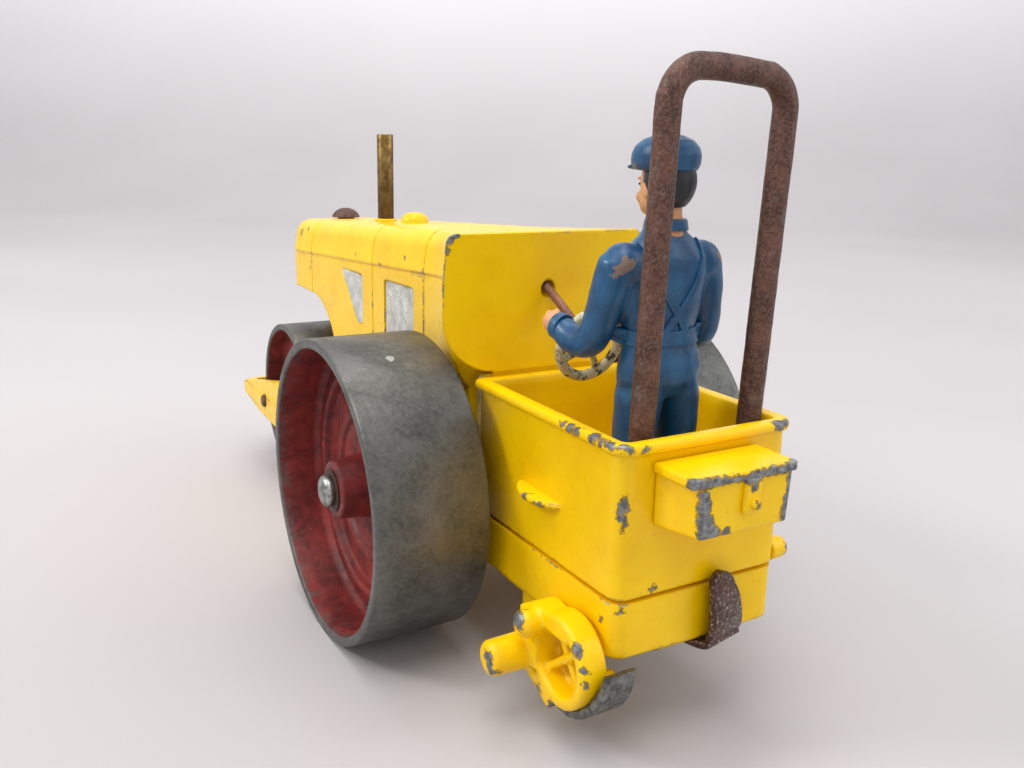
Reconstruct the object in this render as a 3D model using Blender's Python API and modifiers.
"""A die-cast toy road roller: two large drums at the back, a roller in a steered yoke at the front, an
engine hood with a dashboard panel, an open cab tub with a standing driver, and a wire hoop behind them.

The frame is metres, +Z up, the front towards -Y and the driver's left towards +X. The origin is on the
ground, under the middle of the object's box.
"""

import math

import bmesh
import bpy
from mathutils import Matrix, Vector

MM = 0.001
GAP = 0.3 * MM  # left between castings that rest on each other
RUNNING = 0.1 * MM  # radial room of a shaft in its bore

# Driving dimensions. Y places are measured from the rear axle, which lies behind the middle.
AXLE_Y = 14.7 * MM
DRUM_R, DRUM_IN, DRUM_OUT = 17.25 * MM, 11.7 * MM, 24.3 * MM
DRUM_RIM = 1.1 * MM
REAR_AXLE_R = 1.25 * MM
KING_Y = AXLE_Y - 56.5 * MM
ROLLER_R, ROLLER_OUT = 12.7 * MM, 11.5 * MM
FRONT_AXLE_R = 1.0 * MM
LUG_IN, LUG_OUT = 13.2 * MM, 15.2 * MM
BAR_LOW, BAR_HIGH = 11.2 * MM, 13.4 * MM  # of the yoke's ring bar
BOSS_R, BOSS_LOW, BOSS_HIGH = 3.0 * MM, 26.4 * MM, 31.2 * MM
KING_R = 1.4 * MM
HALF_WIDTH = 9.3 * MM  # of the tub and the cab block, to the left
RIGHT_HALF = 10.3 * MM  # the same to the right: the cab sits a little off the centre line
WALL = 1.3 * MM
BASE_BOTTOM, BASE_FRONT_TOP, SEAM = 10.4 * MM, 13.0 * MM, 16.0 * MM
STAND_FACE = 9.0 * MM  # flat pad under the base, which stands proud of the rivets
TUB_FRONT, TUB_REAR, RIM_TOP = AXLE_Y + 9.9 * MM, AXLE_Y + 35.7 * MM, 31.0 * MM
FLOOR_TOP = SEAM + 1.5 * MM
HOOD_FRONT, PANEL_Y = AXLE_Y - 61.0 * MM, AXLE_Y + 9.4 * MM
HOOD_TOP_FRONT, PANEL_TOP, PANEL_BOTTOM = 42.6 * MM, 47.2 * MM, 31.4 * MM
NOSE_BOTTOM = 31.6 * MM
HOOP_Y, HOOP_HALF, HOOP_R, HOOP_TOP = AXLE_Y + 32.8 * MM, 6.4 * MM, 1.25 * MM, 62.0 * MM
HOOP_X = -1.25 * MM
HOOK_TURN = math.radians(13)
COLUMN_Z = 39.4 * MM  # where the column leaves the panel
WHEEL_Y, WHEEL_Z, WHEEL_R, WHEEL_TILT = AXLE_Y + 16.8 * MM, 35.3 * MM, 3.6 * MM, math.radians(14)
DRIVER_Y = AXLE_Y + 27.3 * MM
STACK_Y, STACK_R, STACK_TOP = AXLE_Y - 38.8 * MM, 1.25 * MM, 56.6 * MM
CAP_Y = AXLE_Y - 28.0 * MM
FRONT_RIVET_Y, REAR_RIVET_Y, RIVET_R = AXLE_Y - 20.0 * MM, AXLE_Y + 23.0 * MM, 1.1 * MM

YELLOW, ZINC, RED = (0.90, 0.66, 0.0), (0.30, 0.31, 0.30), (0.36, 0.03, 0.03)
RUST, BRASS, BLUE, CREAM = (0.14, 0.07, 0.05), (0.30, 0.20, 0.08), (0.03, 0.11, 0.22), (0.55, 0.52, 0.38)


# ---- helpers -------------------------------------------------------------------------------------------


def clear_scene():
    for obj in list(bpy.data.objects):
        bpy.data.objects.remove(obj)


def collection(name):
    made = bpy.data.collections.new(name)
    bpy.context.scene.collection.children.link(made)
    return made


def material(name, colour, roughness, metallic):
    made = bpy.data.materials.new(name)
    made.use_nodes = True
    shader = made.node_tree.nodes["Principled BSDF"]
    shader.inputs["Base Color"].default_value = (*colour, 1)
    shader.inputs["Roughness"].default_value = roughness
    shader.inputs["Metallic"].default_value = metallic
    return made


def new_object(name, mesh, home):
    obj = bpy.data.objects.new(name, mesh)
    home.objects.link(obj)
    if home is CUTTERS:
        obj.hide_render = True
        obj.display_type = "WIRE"
    return obj


def paint(obj, finish):
    obj.data.materials.clear()
    obj.data.materials.append(finish)
    return obj


def from_bmesh(name, shape, home):
    mesh = bpy.data.meshes.new(name)
    shape.to_mesh(mesh)
    shape.free()
    return new_object(name, mesh, home)


def box(name, low, high, home, bevel=0.0, segments=2):
    """A box between two corners, its edges rounded by bevel."""
    low, high = Vector(low), Vector(high)
    shape = bmesh.new()
    size = high - low
    bmesh.ops.create_cube(shape, size=1, matrix=Matrix.Diagonal((*size, 1)))
    obj = from_bmesh(name, shape, home)
    obj.location = (low + high) / 2
    if bevel:
        add_bevel(obj, bevel, segments)
    return obj


def add_bevel(obj, width, segments=2):
    bevel = obj.modifiers.new("round_edges", "BEVEL")
    bevel.width = width
    bevel.segments = segments
    bevel.limit_method = "ANGLE"
    bevel.angle_limit = math.radians(40)


def turned(name, profile, home, axis="Z", steps=32, closed=True, place=(0, 0, 0)):
    """A turned solid. The profile is (radius, height) pairs running down the outer side, closed into a loop
    where the piece has a bore and open from pole to pole where it hasn't."""
    mesh = bpy.data.meshes.new(name)
    points = [(radius, 0, height) for radius, height in profile]
    edges = [(i, i + 1) for i in range(len(points) - 1)]
    if closed:
        edges.append((len(points) - 1, 0))
    mesh.from_pydata(points, edges, [])
    obj = new_object(name, mesh, home)
    screw = obj.modifiers.new("turn", "SCREW")
    screw.axis = "Z"
    screw.steps = screw.render_steps = steps
    screw.use_merge_vertices = True
    screw.merge_threshold = 0.00001
    screw.use_smooth_shade = True
    obj.rotation_euler = {"Z": (0, 0, 0), "X": (0, math.pi / 2, 0), "-X": (0, -math.pi / 2, 0),
                          "Y": (-math.pi / 2, 0, 0)}[axis]
    obj.location = place
    return obj


def rod(name, radius, low, high, home, axis="Z", steps=20, place=(0, 0, 0), chamfer=0.0):
    """A plain round bar from low to high along its axis."""
    profile = [(0, high), (radius - chamfer, high), (radius, high - chamfer),
               (radius, low + chamfer), (radius - chamfer, low), (0, low)]
    if not chamfer:
        profile = [(0, high), (radius, high), (radius, low), (0, low)]
    return turned(name, profile, home, axis, steps, False, place)


def plate(name, outline, low, high, home, axis="X", bevel=0.0, segments=1):
    """A flat outline with thickness. Its points are (Y, Z) for axis X and (X, Y) for axis Z."""
    middle, half = (low + high) / 2, (high - low) / 2
    curve = bpy.data.curves.new(name, "CURVE")
    curve.dimensions = "2D"
    curve.fill_mode = "BOTH"
    curve.extrude = half
    spline = curve.splines.new("POLY")
    spline.points.add(len(outline) - 1)
    for point, (u, v) in zip(spline.points, outline):
        point.co = (u, v, 0, 1)
    spline.use_cyclic_u = True
    guide = new_object(name + "_curve", curve, CUTTERS)
    if axis == "X":  # the outline's first axis becomes Y, its second Z
        guide.matrix_world = Matrix(((0, 0, 1, middle), (1, 0, 0, 0), (0, 1, 0, 0), (0, 0, 0, 1)))
    else:
        guide.matrix_world = Matrix.Translation((0, 0, middle))
    return meshed(guide, name, home, bevel, segments)


def meshed(guide, name, home, bevel=0.0, segments=1):
    """The curve object as a welded mesh object."""
    bpy.context.view_layer.update()
    graph = bpy.context.evaluated_depsgraph_get()
    mesh = bpy.data.meshes.new_from_object(guide.evaluated_get(graph))
    shape = bmesh.new()
    shape.from_mesh(mesh)
    bmesh.ops.remove_doubles(shape, verts=shape.verts, dist=0.000001)
    bmesh.ops.recalc_face_normals(shape, faces=shape.faces)
    shape.to_mesh(mesh)
    shape.free()
    obj = new_object(name, mesh, home)
    obj.matrix_world = guide.matrix_world
    bpy.data.objects.remove(guide)
    if bevel:
        add_bevel(obj, bevel, segments)
    return obj


def wire(name, points, radius, home, sides=2):
    """A round wire along points, with flat ends."""
    curve = bpy.data.curves.new(name, "CURVE")
    curve.dimensions = "3D"
    curve.bevel_depth = radius
    curve.bevel_resolution = sides
    curve.use_fill_caps = True
    spline = curve.splines.new("POLY")
    spline.points.add(len(points) - 1)
    for point, co in zip(spline.points, points):
        point.co = (*co, 1)
    return meshed(new_object(name + "_curve", curve, CUTTERS), name, home)


def combine(target, other, operation):
    """Joins or cuts the target with a helper, which moves to the cutters."""
    for home in list(other.users_collection):
        home.objects.unlink(other)
    CUTTERS.objects.link(other)
    other.hide_render = True
    other.display_type = "WIRE"
    boolean = target.modifiers.new(operation.lower(), "BOOLEAN")
    boolean.operation = operation
    boolean.solver = "EXACT"
    boolean.object = other


def join(target, *others):
    for other in others:
        combine(target, other, "UNION")
    return target


def cut(target, *others):
    for other in others:
        combine(target, other, "DIFFERENCE")
    return target


def arc(centre, radius, start, end, count):
    """Points of an arc, in degrees, both ends included."""
    angles = [math.radians(start + (end - start) * i / (count - 1)) for i in range(count)]
    return [(centre[0] + radius * math.cos(a), centre[1] + radius * math.sin(a)) for a in angles]


def rounded_rectangle(low, high, radius, count=4):
    corners = (((high[0], high[1]), 0), ((low[0], high[1]), 90), ((low[0], low[1]), 180), ((high[0], low[1]), 270))
    outline = []
    for (x, y), start in corners:
        centre = (x - math.copysign(radius, x - (low[0] + high[0]) / 2),
                  y - math.copysign(radius, y - (low[1] + high[1]) / 2))
        outline += arc(centre, radius, start, start + 90, count)
    return outline


def smooth(obj, degrees=35):
    if obj.type == "MESH" and obj.data.polygons:
        obj.data.shade_smooth()
        obj.data.set_sharp_from_angle(angle=math.radians(degrees))
    return obj


# ---- rollers -------------------------------------------------------------------------------------------


def drum_profile():
    """Half section of a rear drum: rim, stepped disc and long hub. Heights are distances from the centre plane."""
    edge, inner = 0.3 * MM, DRUM_R - DRUM_RIM
    bore, hub = REAR_AXLE_R + RUNNING, 3.6 * MM
    hub_in, hub_out = HALF_WIDTH + GAP, 22.8 * MM
    back, face = 17.2 * MM, 18.5 * MM
    return [
        (DRUM_R - edge, DRUM_OUT), (DRUM_R, DRUM_OUT - edge), (DRUM_R, DRUM_IN + edge), (DRUM_R - edge, DRUM_IN),
        (inner, DRUM_IN), (inner, back), (hub, back), (hub, hub_in), (bore, hub_in), (bore, hub_out),
        (hub - edge, hub_out), (hub, hub_out - edge), (hub, face),
        (7.6 * MM, face), (7.9 * MM, face + 0.5 * MM), (8.9 * MM, face + 0.5 * MM), (9.2 * MM, face),
        (13.4 * MM, face), (13.8 * MM, face + 0.8 * MM), (inner - 0.2 * MM, face + 0.8 * MM), (inner, DRUM_OUT),
    ]


def roller_profile():
    """Half section of the front roller, which is recessed at both ends. It is the same at both ends."""
    edge, inner, hub = 0.3 * MM, ROLLER_R - 1.0 * MM, 2.5 * MM
    bore, face, tip = FRONT_AXLE_R + RUNNING, 8.2 * MM, ROLLER_OUT + 0.6 * MM
    end = [(bore, tip), (hub, tip), (hub, face), (8.6 * MM, face), (8.9 * MM, face + 0.5 * MM),
           (inner - 0.2 * MM, face + 0.5 * MM), (inner, ROLLER_OUT), (ROLLER_R - edge, ROLLER_OUT),
           (ROLLER_R, ROLLER_OUT - edge)]
    return end + [(radius, -height) for radius, height in reversed(end)]


def rear_drums():
    for side, axis in (("left", "X"), ("right", "-X")):
        drum = turned("rear_drum_" + side, drum_profile(), PARTS, axis, 40, place=(0, AXLE_Y, DRUM_R))
        paint(drum, MATERIALS["red"])


def front_roller():
    roller = turned("front_roller", roller_profile(), PARTS, "X", 36, place=(0, KING_Y, ROLLER_R))
    paint(roller, MATERIALS["red"])


def axles():
    """The rear axle, domed where its ends are peened over the hubs, and the front one, which ends in the lugs."""
    shank, head, seat, tip = REAR_AXLE_R, 1.85 * MM, 23.0 * MM, 24.2 * MM
    dome = [(head * math.cos(math.radians(a)), seat + (tip - seat) * math.sin(math.radians(a)))
            for a in (90, 60, 30, 0)]
    half = dome + [(shank, seat)]
    profile = half + [(radius, -height) for radius, height in reversed(half)]
    profile[0], profile[-1] = (0, tip), (0, -tip)
    paint(turned("rear_axle", profile, PARTS, "X", 24, False, (0, AXLE_Y, DRUM_R)), MATERIALS["steel"])
    front = rod("front_axle", FRONT_AXLE_R, -LUG_OUT - 0.4 * MM, LUG_OUT + 0.4 * MM, PARTS, "X", 20,
                (0, KING_Y, ROLLER_R), 0.2 * MM)
    paint(front, MATERIALS["rust"])


# ---- steered yoke --------------------------------------------------------------------------------------


def yoke_plan(side, front, rear, radius):
    return rounded_rectangle((-side, KING_Y - front), (side, KING_Y + rear), radius)


def front_yoke():
    """One casting: a ring bar round the roller, deeper side plates for the axle, and a neck from the rear
    of the ring that leans over the roller to the king pin's boss."""
    yoke = plate("front_yoke", yoke_plan(LUG_OUT, 14.2 * MM, 15.0 * MM, 2.2 * MM), BAR_LOW, BAR_HIGH, PARTS, "Z")
    cut(yoke, plate("ring_window", yoke_plan(LUG_IN, 13.3 * MM, 13.4 * MM, 1.0 * MM), 5 * MM, 20 * MM, CUTTERS, "Z"))
    side = [(KING_Y - 13.6 * MM, 11.3 * MM), (KING_Y - 13.6 * MM, 13.2 * MM), (KING_Y + 4.5 * MM, 17.0 * MM),
            (KING_Y + 8.0 * MM, 17.4 * MM), (KING_Y + 12.4 * MM, 13.2 * MM), (KING_Y + 12.4 * MM, 11.3 * MM),
            (KING_Y + 8.0 * MM, 9.6 * MM), (KING_Y - 4.0 * MM, 10.0 * MM)]
    for sign in (1, -1):
        span = sorted((sign * (LUG_IN + 0.1 * MM), sign * (LUG_OUT - 0.1 * MM)))
        join(yoke, plate("side_plate", side, *span, CUTTERS))
    neck = [(13.6, 11.4), (14.8, 11.4), (15.2, 23.0), (11.5, 28.2), (0.0, 29.6), (0.0, 26.6), (8.5, 26.2), (13.4, 21.5)]
    neck = [(KING_Y + y * MM, z * MM) for y, z in neck]
    boss = rod("king_boss", BOSS_R, BOSS_LOW, BOSS_HIGH, CUTTERS, steps=24, place=(0, KING_Y, 0))
    join(yoke, plate("neck", neck, -3.0 * MM, 3.0 * MM, CUTTERS), boss)
    axle_hole = rod("axle_hole", FRONT_AXLE_R + RUNNING, -20 * MM, 20 * MM, CUTTERS, "X", 20,
                    (0, KING_Y, ROLLER_R))
    pin_hole = rod("pin_hole", KING_R + RUNNING, BOSS_LOW + 1.6 * MM, BOSS_HIGH + MM, CUTTERS, steps=20,
                   place=(0, KING_Y, 0))
    cut(yoke, axle_hole, pin_hole)
    paint(yoke, MATERIALS["yellow"])


def king_pin():
    """The steel rivet that the yoke turns on, with its domed head on top of the hood."""
    seat = hood_top(KING_Y) + GAP
    head = [(2.3 * MM * math.cos(math.radians(a)), seat + 1.5 * MM * math.sin(math.radians(a)))
            for a in (90, 65, 40, 15, 0)]
    head[0] = (0, seat + 1.5 * MM)
    low = BOSS_LOW + 1.9 * MM
    pin = turned("king_pin", head + [(KING_R, seat), (KING_R, low), (0, low)], PARTS, "Z", 24, False, (0, KING_Y, 0))
    paint(pin, MATERIALS["rust"])


# ---- hood ----------------------------------------------------------------------------------------------

SKIRT_BOTTOM = BASE_FRONT_TOP + GAP
PANEL_HALF = 13.1 * MM
CREASE_Y = AXLE_Y - 4.6 * MM
HOOD_SIDE_FRONT, HOOD_SIDE_REAR = 7.8 * MM, 8.7 * MM


def hood_top(y):
    """Height of the hood's top, which rises evenly towards the panel."""
    share = (y - HOOD_FRONT) / (PANEL_Y - HOOD_FRONT)
    return HOOD_TOP_FRONT + (PANEL_TOP - 0.8 * MM - HOOD_TOP_FRONT) * share


def hood_side(y):
    """Half width of the hood's side: nearly straight to the crease, then flared out to the panel."""
    if y <= CREASE_Y:
        share = (y - HOOD_FRONT) / (CREASE_Y - HOOD_FRONT)
        return HOOD_SIDE_FRONT + (HOOD_SIDE_REAR - HOOD_SIDE_FRONT) * share
    share = (y - CREASE_Y) / (PANEL_Y - CREASE_Y)
    return HOOD_SIDE_REAR + (PANEL_HALF - HOOD_SIDE_REAR) * share ** 2


def hood_section(y, shrink, bottom):
    """One upright section as (X, Z) points, round the top from the right foot to the left foot."""
    half, top = hood_side(y) - shrink, hood_top(y) - shrink
    share = max(0.0, (y - CREASE_Y) / (PANEL_Y - CREASE_Y))
    foot = (HOOD_SIDE_REAR + 0.4 * MM - shrink) if share else half
    belt, radius = top - 5.0 * MM, 2.4 * MM
    lean = 0.4 * MM
    right = [(half, belt)] + arc((half - lean - radius, top - radius), radius, 5, 85, 5)
    if y >= PANEL_Y - MM:  # the panel's lower corners are round
        turn = 5.0 * MM
        right = arc((half - turn, PANEL_BOTTOM + turn), turn, -80, 0, 4) + right
    else:
        middle = foot + (half - foot) * 0.6
        right = [(foot, PANEL_BOTTOM - MM), (middle, PANEL_BOTTOM + MM), (half, PANEL_BOTTOM + 3 * MM),
                 (half, belt - 0.5 * MM)] + right
    right = [(foot, bottom)] + right
    return right + [(-x, z) for x, z in reversed(right)]


def lofted(name, sections, home):
    """A closed solid through sections with equally many points. Each is (Y, outline)."""
    shape = bmesh.new()
    rings = [[shape.verts.new((x, y, z)) for x, z in outline] for y, outline in sections]
    for first, second in zip(rings, rings[1:]):
        count = len(first)
        for i in range(count):
            shape.faces.new((first[i], first[(i + 1) % count], second[(i + 1) % count], second[i]))
    shape.faces.new(rings[0])
    shape.faces.new(rings[-1])
    bmesh.ops.recalc_face_normals(shape, faces=shape.faces)
    return from_bmesh(name, shape, home)


def hood_stations(front, rear):
    straight = [front, front + (CREASE_Y - front) * 0.5, CREASE_Y]
    flare = [CREASE_Y + (rear - MM - CREASE_Y) * i / 4 for i in range(1, 5)]
    return straight + flare


def side_outline():
    """What lies under the nose, cut away in side view: over the roller, round the hollow and down to the skirt."""
    y = AXLE_Y
    hollow = arc((y - 50.5 * MM, NOSE_BOTTOM - 11.5 * MM), 11.5 * MM, 90, 8, 8)
    return [(y - 75 * MM, 5 * MM), (y - 75 * MM, NOSE_BOTTOM)] + hollow + [
        (y - 38.3 * MM, 18 * MM), (y - 35.0 * MM, SKIRT_BOTTOM - 0.1 * MM), (y - 35.0 * MM, 5 * MM)]


def column_ends():
    """The column's two ends, inside the panel and in the wheel's hub."""
    hole, hub = Vector((0, PANEL_Y, COLUMN_Z)), Vector((0, WHEEL_Y, WHEEL_Z))
    return hole - (hub - hole).normalized() * 2.5 * MM, hub


def aimed(name, start, end, radius, home, steps=16):
    """A plain round bar between two points."""
    bar = rod(name, radius, 0, (end - start).length, home, steps=steps)
    bar.rotation_euler = (end - start).to_track_quat("Z", "Y").to_euler()
    bar.location = start
    return bar


def engine_hood():
    """The hood casting: a shell open below, with skirts down to the base, window recesses, the king pin's
    boss under the nose and a bridge with the front rivet's boss."""
    sections = [(y, hood_section(y, 0, SKIRT_BOTTOM)) for y in hood_stations(HOOD_FRONT, PANEL_Y)]
    sections.append((PANEL_Y, hood_section(PANEL_Y, 0, PANEL_BOTTOM - 0.1 * MM)))
    hood = lofted("engine_hood", sections, PARTS)
    hollow = [(y, hood_section(y, WALL, SKIRT_BOTTOM - 2 * MM))
              for y in hood_stations(HOOD_FRONT + WALL, PANEL_Y - WALL)]
    cut(hood, lofted("hood_hollow", hollow, CUTTERS), plate("nose_cut", side_outline(), -20 * MM, 20 * MM, CUTTERS))
    boss = rod("pin_boss", 3.0 * MM, NOSE_BOTTOM + 0.1 * MM, hood_top(KING_Y) - 0.5 * MM, CUTTERS, steps=24, place=(0, KING_Y, 0))
    bridge = box("rivet_bridge", (-7.8 * MM, FRONT_RIVET_Y - 2.2 * MM, SKIRT_BOTTOM + 0.1 * MM),
                 (7.8 * MM, FRONT_RIVET_Y + 2.2 * MM, SKIRT_BOTTOM + 2.5 * MM), CUTTERS)
    join(hood, boss, bridge)
    pin_hole = rod("hood_pin_hole", KING_R + RUNNING, NOSE_BOTTOM - 2 * MM, 50 * MM, CUTTERS, steps=20,
                   place=(0, KING_Y, 0))
    stack_hole = rod("stack_hole", STACK_R + RUNNING, 40 * MM, 50 * MM, CUTTERS, steps=20, place=(0, STACK_Y, 0))
    cap_hole = rod("cap_hole", 1.0 * MM, 40 * MM, 50 * MM, CUTTERS, steps=20, place=(0, CAP_Y, 0))
    axle_hole = rod("hood_axle_hole", REAR_AXLE_R + RUNNING, -20 * MM, 20 * MM, CUTTERS, "X", 20,
                    (0, AXLE_Y, DRUM_R))
    start, end = column_ends()
    column_hole = aimed("column_hole", start, end, 0.95 * MM, CUTTERS)
    rivet_hole = rod("hood_rivet_hole", RIVET_R + RUNNING, 5 * MM, SKIRT_BOTTOM + 4 * MM, CUTTERS, steps=16,
                     place=(0, FRONT_RIVET_Y, 0))
    cut(hood, pin_hole, stack_hole, cap_hole, axle_hole, column_hole, rivet_hole)
    for side in (1, -1):
        for outline in window_outlines():
            cut(hood, plate("window", outline, *sorted((side * 7.9 * MM, side * 10 * MM)), CUTTERS))
    paint(hood, MATERIALS["yellow"])


def window_outlines():
    """The two silvered windows of a side, as (Y, Z): a slanted one in front and an upright one behind."""
    y = AXLE_Y
    front = [(y - 36.0 * MM, 37.0 * MM), (y - 27.6 * MM, 37.4 * MM), (y - 27.6 * MM, 30.4 * MM),
             (y - 29.4 * MM, 30.4 * MM)]
    rear = [(y - 18.8 * MM, 37.6 * MM), (y - 9.4 * MM, 38.0 * MM), (y - 9.4 * MM, 25.0 * MM), (y - 18.8 * MM, 25.0 * MM)]
    return front, rear


def window_inlays():
    """The silvered plates that sit in the hood's four window recesses."""
    for side, hand in ((1, "left"), (-1, "right")):
        for outline, end in zip(window_outlines(), ("front", "rear")):
            middle = Vector((sum(y for y, z in outline) / 4, sum(z for y, z in outline) / 4))
            smaller = []
            for point in outline:
                inward = middle - Vector(point)
                smaller.append(tuple(Vector(point) + inward.normalized() * 0.5 * MM))
            span = sorted((side * 8.1 * MM, side * 8.35 * MM))
            inlay = plate("window_%s_%s" % (hand, end), smaller, *span, PARTS)
            paint(inlay, MATERIALS["silver"])


def hood_fittings():
    """The exhaust stack, the filler cap and the steering column with its wheel."""
    foot, roof = hood_top(STACK_Y) + GAP, hood_top(STACK_Y) - 3.0 * MM
    bore = 0.75 * MM
    stack = [(bore, STACK_TOP), (STACK_R - 0.1 * MM, STACK_TOP), (STACK_R, STACK_TOP - 0.1 * MM),
             (STACK_R, foot + 0.7 * MM), (STACK_R + 0.45 * MM, foot + 0.7 * MM), (STACK_R + 0.45 * MM, foot),
             (STACK_R, foot), (STACK_R, roof), (bore, roof)]
    paint(turned("exhaust_stack", stack, PARTS, "Z", 24, place=(0, STACK_Y, 0)), MATERIALS["brass"])
    seat, crown = hood_top(CAP_Y) + GAP, hood_top(CAP_Y) + 1.5 * MM
    cap = [(0, crown), (1.2 * MM, crown - 0.1 * MM), (1.8 * MM, crown - 0.5 * MM), (2.0 * MM, seat),
           (0.8 * MM, seat), (0.8 * MM, seat - 2.2 * MM), (0, seat - 2.2 * MM)]
    paint(turned("filler_cap", cap, PARTS, "Z", 24, False, (0, CAP_Y, 0)), MATERIALS["yellow"])
    start, end = column_ends()
    along = (end - start).normalized()
    paint(aimed("steering_column", start + along * 0.3 * MM, end, 0.7 * MM, PARTS), MATERIALS["rust"])


def steering_wheel():
    """A ring with four spokes and a hub, pressed over the end of the column."""
    ring = [(WHEEL_R + 0.5 * MM * math.cos(math.radians(a)), 0.5 * MM * math.sin(math.radians(a)))
            for a in range(90, -270, -45)]
    wheel = turned("steering_wheel", ring, PARTS, "Z", 32)
    hub = rod("wheel_hub", 1.35 * MM, -0.6 * MM, 0.9 * MM, CUTTERS, steps=20)
    spokes = [box("spoke", (-WHEEL_R, -0.35 * MM, -0.3 * MM), (WHEEL_R, 0.35 * MM, 0.3 * MM), CUTTERS),
              box("spoke", (-0.35 * MM, -WHEEL_R, -0.3 * MM), (0.35 * MM, WHEEL_R, 0.3 * MM), CUTTERS)]
    join(wheel, hub, *spokes)
    turn = Matrix.Translation((0, WHEEL_Y, WHEEL_Z)) @ Matrix.Rotation(-math.pi / 2 - WHEEL_TILT, 4, "X")
    for piece in (wheel, hub, *spokes):
        piece.matrix_world = turn
    start, end = column_ends()
    cut(wheel, aimed("column_seat", start, end + (end - start).normalized() * 0.2 * MM, 0.85 * MM, CUTTERS))
    paint(wheel, MATERIALS["cream"])


# ---- cab and base --------------------------------------------------------------------------------------


def tub_plan(grow, rear_radius=1.8 * MM):
    """The tub's outline from above, grown by a margin: square in front, rounded behind."""
    left, right, front, rear = HALF_WIDTH + grow, RIGHT_HALF + grow, TUB_FRONT - grow, TUB_REAR + grow
    radius = max(rear_radius + grow, 0.5 * MM)
    return ([(-right, front), (left, front)] + arc((left - radius, rear - radius), radius, 0, 90, 6)
            + arc((radius - right, rear - radius), radius, 90, 180, 6))


def cab_tub():
    """The open cab: walls with a rolled rim, a floor, sockets for the hoop and a lug on each side."""
    low = SEAM + GAP
    tub = plate("cab_tub", tub_plan(0), low, RIM_TOP, PARTS, "Z")
    lug_left = rod("lug_left", 3.3 * MM, 21.2 * MM, 22.6 * MM, CUTTERS, steps=24, place=(7.8 * MM, AXLE_Y + 23.3 * MM, 0))
    lug_right = rod("lug_right", 1.1 * MM, -12.2 * MM, -9.5 * MM, CUTTERS, "X", 20,
                    (0, TUB_REAR - 1.3 * MM, 17.4 * MM), 0.3 * MM)
    join(tub, plate("rim", tub_plan(0.35 * MM), RIM_TOP - MM, RIM_TOP, CUTTERS, "Z"), lug_left, lug_right)
    cut(tub, plate("tub_hollow", tub_plan(-WALL), FLOOR_TOP + GAP, 40 * MM, CUTTERS, "Z"))
    for x in (HOOP_X + HOOP_HALF, HOOP_X - HOOP_HALF):
        join(tub, box("hoop_socket", (max(x - 1.9 * MM, -9.6 * MM), HOOP_Y - 2.1 * MM, low + 0.4 * MM),
                      (x + 1.9 * MM, TUB_REAR - 0.5 * MM, 21.5 * MM), CUTTERS))
        cut(tub, rod("socket_bore", HOOP_R + 0.1 * MM, FLOOR_TOP - 0.1 * MM, 22 * MM, CUTTERS, steps=20,
                     place=(x, HOOP_Y, 0)))
    stud = rod("rear_rivet_hole", RIVET_R + RUNNING, 5 * MM, 25 * MM, CUTTERS, steps=16, place=(0, REAR_RIVET_Y, 0))
    cut(tub, stud)
    paint(tub, MATERIALS["yellow"])


def toolbox():
    """The box on the tub's back: a body, an overhanging lid and a hasp."""
    back, front = AXLE_Y + 40.4 * MM, TUB_REAR + GAP
    body = box("toolbox", (-5.2 * MM, front, 23.3 * MM), (5.2 * MM, back, 28.3 * MM), PARTS)
    lid = box("lid", (-5.5 * MM, front, 28.2 * MM), (5.5 * MM, back + 0.4 * MM, 29.2 * MM), CUTTERS, 0.2 * MM)
    hasp = box("hasp", (-0.8 * MM, back - 0.3 * MM, 26.2 * MM), (0.8 * MM, back + 0.75 * MM, 28.9 * MM), CUTTERS, 0.2 * MM)
    knob = rod("hasp_knob", 0.5 * MM, back - 0.3 * MM, back + 0.9 * MM, CUTTERS, "Y", 14, (0, 0, 26.7 * MM))
    join(body, lid, hasp, knob)
    paint(body, MATERIALS["yellow"])


def base_casting():
    """The casting under everything: a thin deck under the hood and a deep block under the cab."""
    base = plate("base", [(-9.1 * MM, AXLE_Y - 34.6 * MM), (9.1 * MM, AXLE_Y - 34.6 * MM), (9.1 * MM, AXLE_Y + 20 * MM),
                          (-9.1 * MM, AXLE_Y + 20 * MM)], BASE_BOTTOM, BASE_FRONT_TOP, PARTS, "Z")
    block = plate("cab_block", tub_plan(0), BASE_BOTTOM + 0.3 * MM, SEAM, CUTTERS, "Z")
    pad = box("hook_pad", (-4.4 * MM, TUB_REAR - 9 * MM, BASE_BOTTOM), (4.4 * MM, TUB_REAR - 0.2 * MM, 13 * MM), CUTTERS)
    step = box("pad_step", (-6.6 * MM, TUB_REAR - 9 * MM, 10.55 * MM), (3.4 * MM, TUB_REAR - 0.1 * MM, 13 * MM), CUTTERS)
    stand = box("stand_pad", (-6 * MM, AXLE_Y - 33.6 * MM, STAND_FACE), (6 * MM, AXLE_Y - 24 * MM, 12 * MM), CUTTERS)
    seat = box("ripper_seat", (6.8 * MM, AXLE_Y + 19.6 * MM, 8.6 * MM), (9.1 * MM, AXLE_Y + 26.3 * MM, 12 * MM), CUTTERS)
    join(base, block, pad, step, stand, seat)
    cut(base, box("underside", (-7.6 * MM, AXLE_Y - 12 * MM, 9 * MM), (7.6 * MM, AXLE_Y + 17 * MM, 11.4 * MM), CUTTERS))
    for y in (FRONT_RIVET_Y, REAR_RIVET_Y):
        cut(base, rod("base_rivet_hole", RIVET_R + RUNNING, 5 * MM, 25 * MM, CUTTERS, steps=16, place=(0, y, 0)))
    paint(base, MATERIALS["yellow"])


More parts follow.
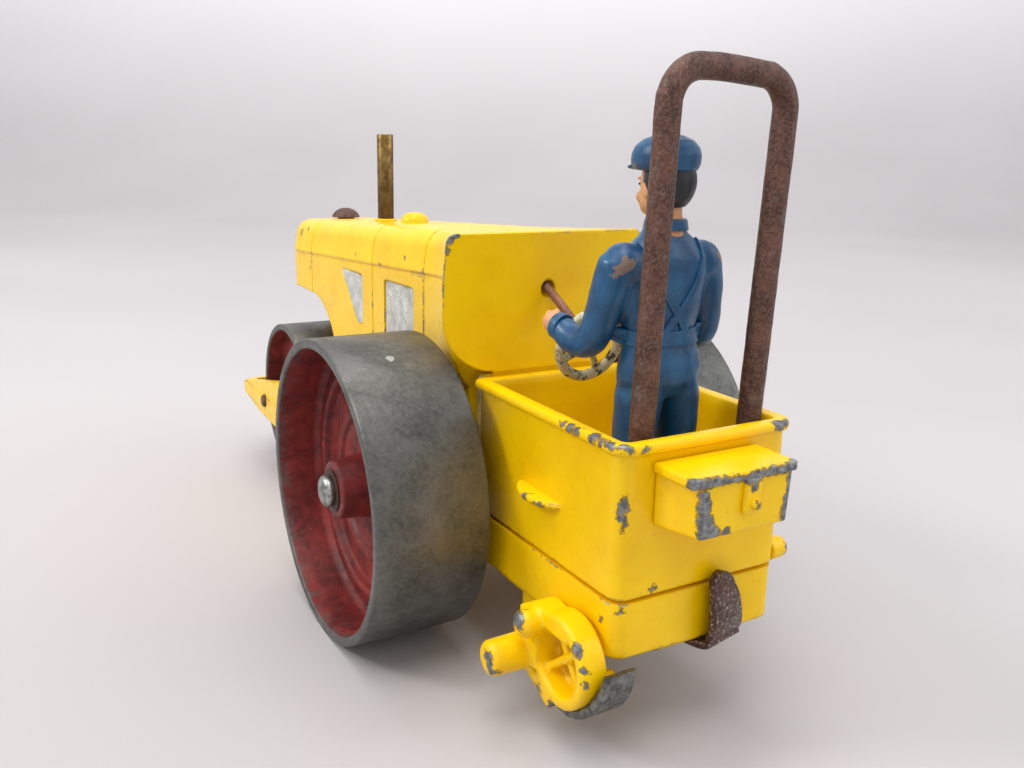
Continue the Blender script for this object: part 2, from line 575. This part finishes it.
def rivets():
    """Two steel rivets that hold the hood and the cab down on the base, peened over underneath."""
    for name, y, seat, top in (("front_rivet", FRONT_RIVET_Y, BASE_BOTTOM - GAP, SKIRT_BOTTOM + 2.2 * MM),
                               ("rear_rivet", REAR_RIVET_Y, BASE_BOTTOM - 1.2 * MM, FLOOR_TOP - 0.1 * MM)):
        profile = [(0, top), (RIVET_R, top), (RIVET_R, seat), (2.2 * MM, seat), (1.9 * MM, seat - 0.6 * MM),
                   (0, seat - 0.9 * MM)]
        paint(turned(name, profile, PARTS, "Z", 20, False, (0, y, 0)), MATERIALS["steel"])


def tow_hook():
    """A steel strip riveted under the base that runs out behind, turns up and narrows to a rounded tip. It
    stands a few degrees off the centre line."""
    top, thick = BASE_BOTTOM - 0.2 * MM, 0.7 * MM
    start, end, bend = REAR_RIVET_Y - 3.2 * MM, AXLE_Y + 37.9 * MM, 2.2 * MM
    side = [(start, top - thick), (end - bend, top - thick)]
    side += arc((end - bend, top - thick + bend), bend, -60, 0, 4)
    side += [(end - 0.4 * MM, 18.8 * MM), (end - 0.4 * MM - thick, 18.8 * MM)]
    side += arc((end - bend, top - thick + bend), bend - thick, 0, -60, 4)
    side += [(end - bend, top), (start, top)]
    hook = plate("tow_hook", side, -2.4 * MM, 2.4 * MM, PARTS)
    tip = [(2.6 * MM, 8 * MM), (2.6 * MM, 12.0 * MM)]
    tip += [(1.3 * MM + x, 16.9 * MM + z) for x, z in arc((0, 0), 1.2 * MM, 10, 160, 9)]
    tip += [(-2.6 * MM, 12.6 * MM), (-2.6 * MM, 8 * MM)]
    keep = plate("hook_outline", tip, -60 * MM, 60 * MM, CUTTERS, "Z")
    keep.rotation_euler = (math.pi / 2, 0, 0)
    combine(hook, keep, "INTERSECT")
    cut(hook, rod("hook_rivet_hole", RIVET_R + RUNNING, 5 * MM, 20 * MM, CUTTERS, steps=16, place=(0, REAR_RIVET_Y, 0)))
    pivot = Matrix.Translation((0, REAR_RIVET_Y, 0))
    turn = pivot @ Matrix.Rotation(HOOK_TURN, 4, "Z") @ pivot.inverted()
    bpy.context.view_layer.update()
    hook.matrix_world = turn @ hook.matrix_world
    keep.matrix_world = turn @ keep.matrix_world
    paint(hook, MATERIALS["rust"])


def scarifier():
    """The ripper casting beside the left drum: a bar from the base, a boss and a ring with two ribs, and a
    curved steel blade round the ring's lower back."""
    x0, x1, y = 9.7 * MM, 12.4 * MM, AXLE_Y
    centre = (y + 31.2 * MM, 9.2 * MM)
    ring = plate("scarifier", arc(centre, 4.3 * MM, 0, 345, 24), x0, x1, PARTS)
    under = arc(centre, 4.3 * MM, 195, 345, 12) + arc(centre, 2.8 * MM, 345, 195, 12)
    join(ring, plate("ring_under", under, 8.0 * MM, x0 + 0.1 * MM, CUTTERS))
    cut(ring, plate("ring_hole", arc(centre, 2.8 * MM, 0, 345, 24), 7 * MM, x1 + MM, CUTTERS))
    for angle in (35, 115):
        rib = box("rib", (x0 + 0.4 * MM, -3.6 * MM, -0.5 * MM), (x1 - 0.4 * MM, 3.6 * MM, 0.5 * MM), CUTTERS)
        rib.location = ((x0 + x1) / 2, centre[0], centre[1])
        rib.rotation_euler = (math.radians(angle), 0, 0)
        join(ring, rib)
    bar = rod("ripper_bar", 1.4 * MM, 9.7 * MM, 14.4 * MM, CUTTERS, "X", 20, (0, y + 27.6 * MM, 11.6 * MM), 0.3 * MM)
    boss = rod("ripper_boss", 1.75 * MM, 9.8 * MM, 16.6 * MM, CUTTERS, "X", 20, (0, y + 25.6 * MM, 7.7 * MM), 0.3 * MM)
    stem = box("ripper_stem", (x0, y + 25.0 * MM, 7.2 * MM), (x1, y + 28.6 * MM, 12.0 * MM), CUTTERS)
    join(ring, bar, boss, stem)
    paint(ring, MATERIALS["yellow"])
    sweep = [math.radians(-100 + 12 * i) for i in range(10)]
    outer = [(centre[0] + 5.3 * MM * math.cos(a), centre[1] + 5.3 * MM * math.sin(a)) for a in sweep]
    inner = [(centre[0] + 4.6 * MM * math.cos(a), centre[1] + 4.6 * MM * math.sin(a)) for a in reversed(sweep)]
    blade = plate("ripper_blade", outer + inner, 7.6 * MM, 11.6 * MM, PARTS)
    paint(blade, MATERIALS["steel"])


def grab_hoop():
    """The wire hoop behind the driver, its feet down in the floor sockets. It leans a little to the right."""
    radius, top, foot = 3.6 * MM, HOOP_TOP, FLOOR_TOP + 0.2 * MM
    right = [(HOOP_HALF, foot), (HOOP_HALF, 30 * MM)]
    right += arc((HOOP_HALF - radius, top - radius), radius, 0, 90, 7)
    left = [(-x, z - 0.25 * MM) for x, z in reversed(right)]
    left[-1] = (-HOOP_HALF, foot)
    points = []
    for x, z in right + left:
        share = max(0.0, (z - 30 * MM) / (30 * MM))
        points.append((HOOP_X + x + share * (math.copysign(0.2 * MM, x) - 1.05 * MM), HOOP_Y, z))
    paint(wire("grab_hoop", points, HOOP_R, PARTS, 3), MATERIALS["rust"])


def ellipsoid(name, centre, size):
    shape = bmesh.new()
    bmesh.ops.create_uvsphere(shape, u_segments=14, v_segments=8, radius=1)
    bmesh.ops.scale(shape, verts=shape.verts, vec=[s * MM for s in size])
    obj = from_bmesh(name, shape, CUTTERS)
    obj.location = centre
    return obj


def limb(name, start, end, start_radius, end_radius, home=None):
    """A tapering round limb between two points."""
    start, end = Vector(start), Vector(end)
    length = (end - start).length
    profile = [(0, length), (end_radius, length), (start_radius, 0), (0, 0)]
    made = turned(name, profile, home or CUTTERS, "Z", 14, False)
    made.rotation_euler = (end - start).to_track_quat("Z", "Y").to_euler()
    made.location = start
    return made


def stacked(name, rings, home, sides=18):
    """A closed solid through level ovals. Each is (height, middle X, middle Y, half width, half depth)."""
    shape = bmesh.new()
    loops = []
    for z, x, y, across, deep in rings:
        angles = [2 * math.pi * i / sides for i in range(sides)]
        loops.append([shape.verts.new((x + across * math.cos(a), y + deep * math.sin(a), z)) for a in angles])
    for low, high in zip(loops, loops[1:]):
        for i in range(sides):
            shape.faces.new((low[i], low[(i + 1) % sides], high[(i + 1) % sides], high[i]))
    shape.faces.new(loops[0])
    shape.faces.new(loops[-1])
    bmesh.ops.recalc_face_normals(shape, faces=shape.faces)
    return from_bmesh(name, shape, home)


def driver():
    """The standing driver in overalls and a flat cap, both arms forward. One moulding."""
    def at(x, y, z):
        return (x * MM, AXLE_Y + y * MM, z * MM)
    floor = FLOOR_TOP / MM + 2 * GAP / MM
    trunk = [(30.5, 26.7, 4.9, 3.0), (33.0, 26.8, 5.3, 3.1), (37.0, 26.8, 4.0, 2.6), (38.5, 26.8, 4.1, 2.6),
             (43.0, 26.8, 4.9, 2.9), (45.6, 26.8, 5.0, 2.8), (47.0, 26.8, 3.6, 2.2), (48.2, 26.8, 1.9, 1.6)]
    figure = stacked("driver", [(z * MM, -0.9 * MM, AXLE_Y + y * MM, across * MM, deep * MM)
                                for z, y, across, deep in trunk], PARTS)
    pieces = []
    for side in (1, -1):
        x = -0.9 + side * 2.3
        pieces.append(limb("leg", at(x, 27.0, floor), at(x, 26.8, 33.5), 1.9 * MM, 2.5 * MM))
        pieces.append(ellipsoid("boot", at(x, 26.2, floor + 1.1), (1.8, 2.9, 1.1)))
        pieces.append(ellipsoid("shoulder", at(-0.9 + side * 4.5, 26.8, 45.0), (2.1, 2.1, 2.0)))
    pieces.append(limb("neck", at(-0.9, 27.0, 45.0), at(-0.9, 26.7, 51.0), 2.3 * MM, 1.7 * MM))
    pieces.append(ellipsoid("head", at(-0.9, 26.2, 52.0), (2.5, 2.9, 3.3)))
    pieces.append(ellipsoid("cap", at(-0.9, 26.4, 54.9), (3.2, 3.6, 1.6)))
    pieces.append(ellipsoid("peak", at(-0.9, 23.6, 54.1), (2.2, 2.0, 0.5)))
    for shoulder, elbow, wrist, hand in (((4.1, 26.8, 45.0), (5.0, 24.4, 37.6), (6.0, 19.8, 38.2), (6.3, 18.6, 38.5)),
                                         ((-5.9, 26.8, 45.0), (-7.0, 25.0, 37.6), (-6.6, 20.4, 36.8),
                                          (-6.3, 19.2, 36.8))):
        pieces.append(limb("upper_arm", at(*shoulder), at(*elbow), 1.9 * MM, 1.4 * MM))
        pieces.append(ellipsoid("elbow", at(*elbow), (1.45, 1.45, 1.45)))
        pieces.append(limb("forearm", at(*elbow), at(*wrist), 1.35 * MM, 0.95 * MM))
        pieces.append(ellipsoid("hand", at(*hand), (1.1, 1.5, 1.1)))
    join(figure, *pieces)
    paint(figure, MATERIALS["blue"])


clear_scene()
PARTS, CUTTERS = collection("toy_road_roller"), collection("cutters")
CUTTERS.hide_render = True
MATERIALS = {
    "yellow": material("yellow_paint", YELLOW, 0.35, 0.0), "red": material("red_paint", RED, 0.5, 0.0),
    "steel": material("bare_steel", ZINC, 0.4, 1.0), "rust": material("rusty_steel", RUST, 0.6, 0.6),
    "brass": material("aged_brass", BRASS, 0.45, 1.0), "blue": material("blue_paint", BLUE, 0.45, 0.0),
    "cream": material("cream_paint", CREAM, 0.5, 0.0), "silver": material("silver_paint", (0.6, 0.6, 0.55), 0.35, 0.8),
}
rear_drums()
front_roller()
axles()
front_yoke()
king_pin()
engine_hood()
window_inlays()
hood_fittings()
steering_wheel()
cab_tub()
toolbox()
base_casting()
rivets()
tow_hook()
scarifier()
grab_hoop()
driver()
for part in PARTS.objects:
    smooth(part)
